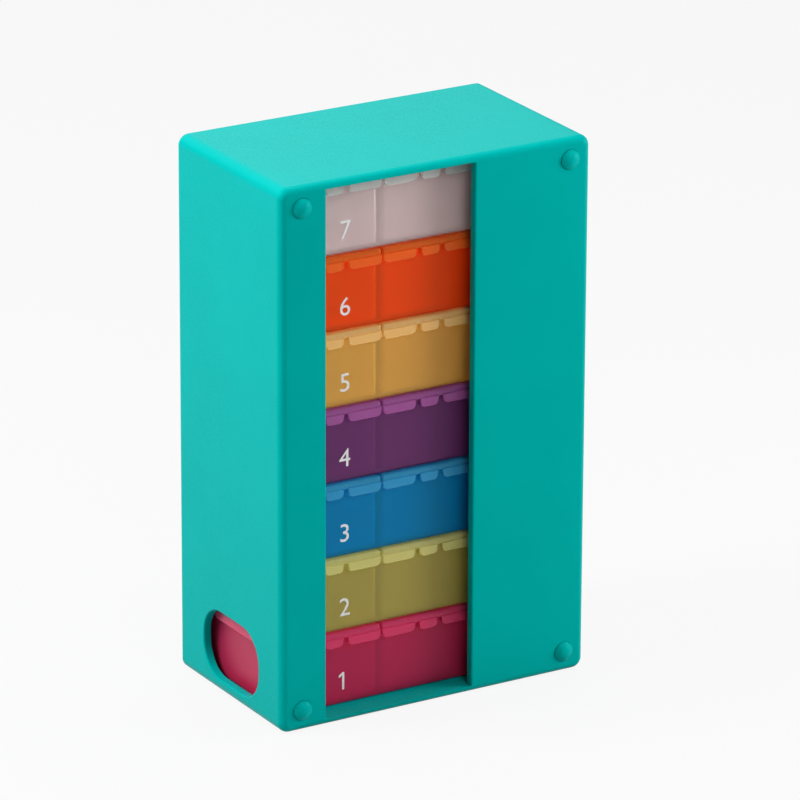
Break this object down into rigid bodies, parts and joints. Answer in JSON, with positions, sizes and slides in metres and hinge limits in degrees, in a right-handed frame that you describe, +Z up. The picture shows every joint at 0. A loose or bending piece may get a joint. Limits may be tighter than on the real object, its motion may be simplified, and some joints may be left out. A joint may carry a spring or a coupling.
{
  "type": "weekly pill organizer",
  "caption": "Upright plastic case with a front window and a finger hole, holding a stack of coloured day trays with hinged lids that slide out at one side.",
  "frame": {"origin": "bottom centre of the organizer as it stands", "axes": "+Z up, the window faces -Y, the trays slide out towards +X"},
  "size_m": [0.102, 0.0606, 0.164],
  "materials": {
    "teal_plastic": "satin",
    "magenta_plastic": "frosted translucent",
    "lime_plastic": "frosted translucent",
    "blue_plastic": "frosted translucent",
    "purple_plastic": "frosted translucent",
    "amber_plastic": "frosted translucent",
    "orange_plastic": "frosted translucent",
    "clear_plastic": "frosted translucent"
  },
  "bodies": {
    "case": {"case_shell": "teal_plastic", "back_cover": "teal_plastic", "front_studs": "teal_plastic"},
    "tray_1": {"day_tray_1": "magenta_plastic", "lid_1_left": "magenta_plastic", "lid_1_middle": "magenta_plastic", "lid_1_right": "magenta_plastic"},
    "tray_2": {"day_tray_2": "lime_plastic", "lid_2_left": "lime_plastic", "lid_2_middle": "lime_plastic", "lid_2_right": "lime_plastic"},
    "tray_3": {"day_tray_3": "blue_plastic", "lid_3_left": "blue_plastic", "lid_3_middle": "blue_plastic", "lid_3_right": "blue_plastic"},
    "tray_4": {"day_tray_4": "purple_plastic", "lid_4_left": "purple_plastic", "lid_4_middle": "purple_plastic", "lid_4_right": "purple_plastic"},
    "tray_5": {"day_tray_5": "amber_plastic", "lid_5_left": "amber_plastic", "lid_5_middle": "amber_plastic", "lid_5_right": "amber_plastic"},
    "tray_6": {"day_tray_6": "orange_plastic", "lid_6_left": "orange_plastic", "lid_6_middle": "orange_plastic", "lid_6_right": "orange_plastic"},
    "tray_7": {"day_tray_7": "clear_plastic", "lid_7_left": "clear_plastic", "lid_7_middle": "clear_plastic", "lid_7_right": "clear_plastic"}
  },
  "joints": [
    {"name": "tray_1_slide", "type": "slide", "parent": "case", "child": "tray_1", "axis": [1, 0, 0], "range_m": [0, 0.11]},
    {"name": "tray_2_slide", "type": "slide", "parent": "case", "child": "tray_2", "axis": [1, 0, 0], "range_m": [0, 0.11]},
    {"name": "tray_3_slide", "type": "slide", "parent": "case", "child": "tray_3", "axis": [1, 0, 0], "range_m": [0, 0.11]},
    {"name": "tray_4_slide", "type": "slide", "parent": "case", "child": "tray_4", "axis": [1, 0, 0], "range_m": [0, 0.11]},
    {"name": "tray_5_slide", "type": "slide", "parent": "case", "child": "tray_5", "axis": [1, 0, 0], "range_m": [0, 0.11]},
    {"name": "tray_6_slide", "type": "slide", "parent": "case", "child": "tray_6", "axis": [1, 0, 0], "range_m": [0, 0.11]},
    {"name": "tray_7_slide", "type": "slide", "parent": "case", "child": "tray_7", "axis": [1, 0, 0], "range_m": [0, 0.11]}
  ]
}
